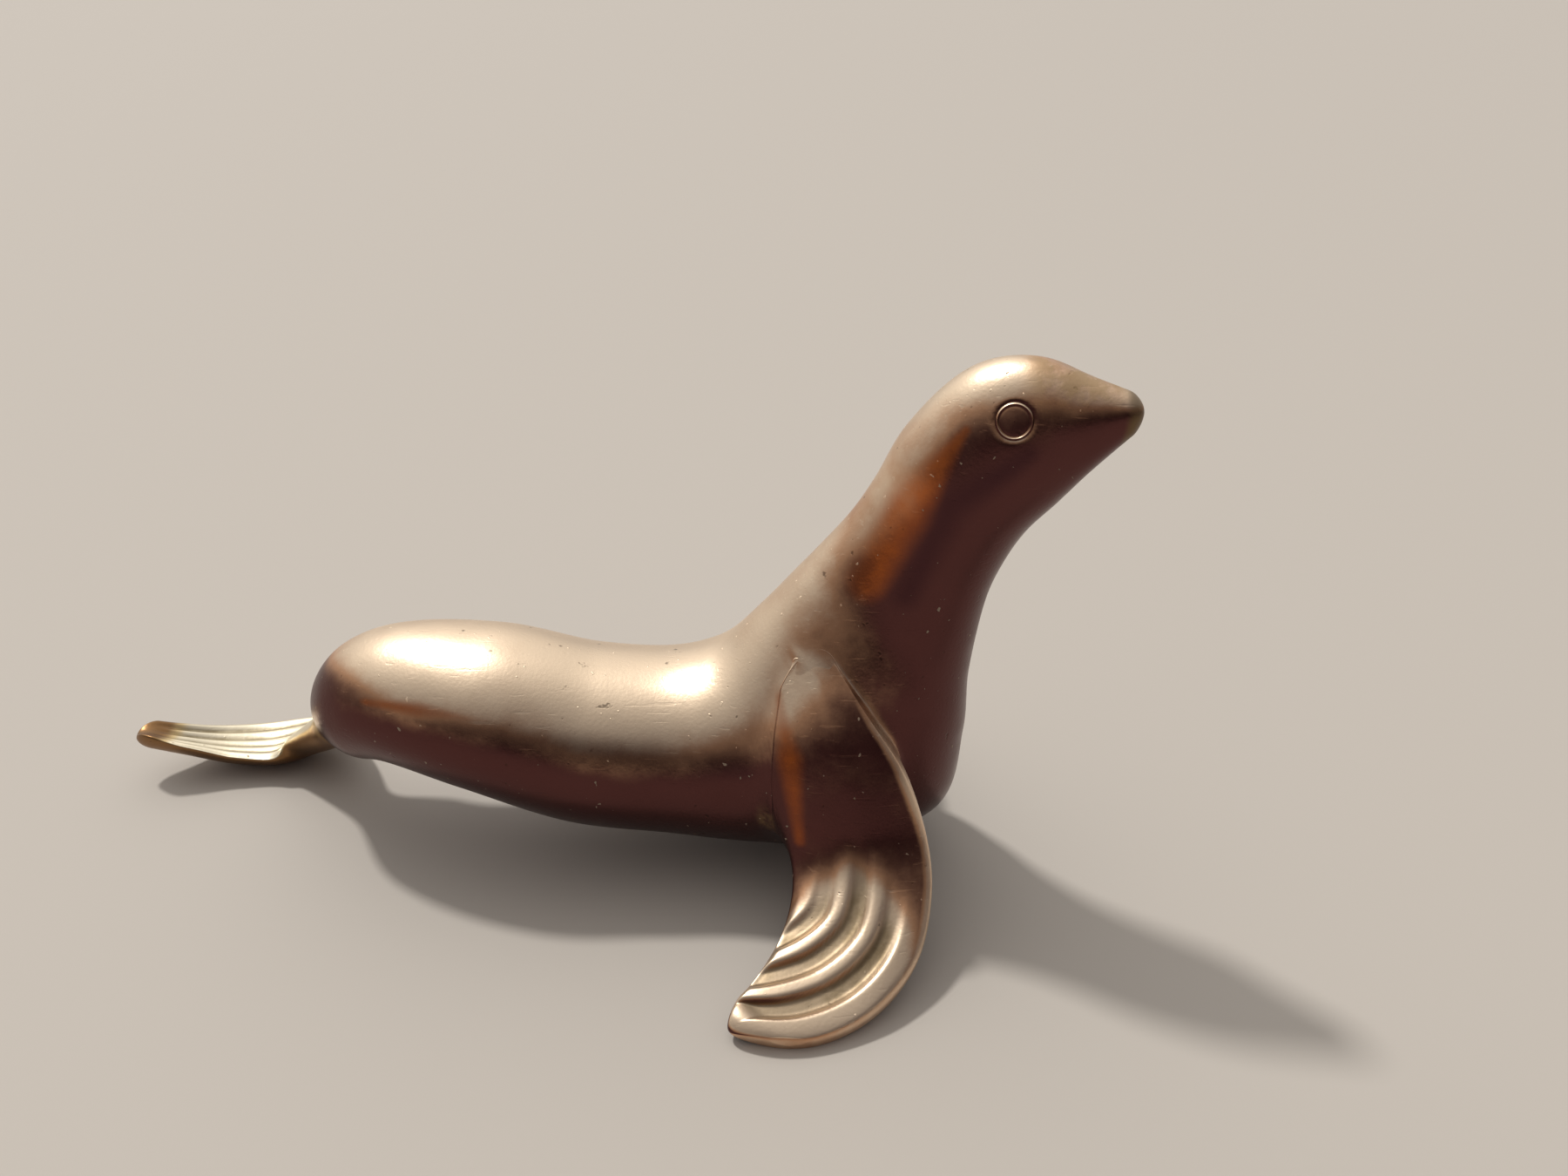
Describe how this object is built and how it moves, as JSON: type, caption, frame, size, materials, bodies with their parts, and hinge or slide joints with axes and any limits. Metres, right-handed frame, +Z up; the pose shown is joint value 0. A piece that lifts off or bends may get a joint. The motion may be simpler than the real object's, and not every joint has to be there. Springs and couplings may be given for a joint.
{
  "type": "metal seal figurine",
  "caption": "Small cast metal seal, head raised and turned aside, that stands on its spread front flippers and grooved tail.",
  "frame": {"origin": "on the table under the middle of the bounding box", "axes": "+X from the tail to the nose, +Y to the seal's left, +Z up"},
  "size_m": [0.1204, 0.0716, 0.0663],
  "materials": {
    "bronze": "soft polish over aged brown metal",
    "worn_bronze": "brown metal worn bright on the ridges",
    "yellow_brass": "yellower metal, lightly tarnished"
  },
  "bodies": {
    "root": {"body": "bronze", "neck_and_head": "bronze", "front_flipper_right": "worn_bronze", "front_flipper_left": "worn_bronze", "hind_flipper": "yellow_brass", "eye_right": "worn_bronze", "eye_left": "worn_bronze", "neck_dowel": "yellow_brass", "flipper_pin_right": "yellow_brass", "flipper_pin_left": "yellow_brass", "tail_pin": "yellow_brass", "belly_plug": "yellow_brass"}
  },
  "joints": []
}
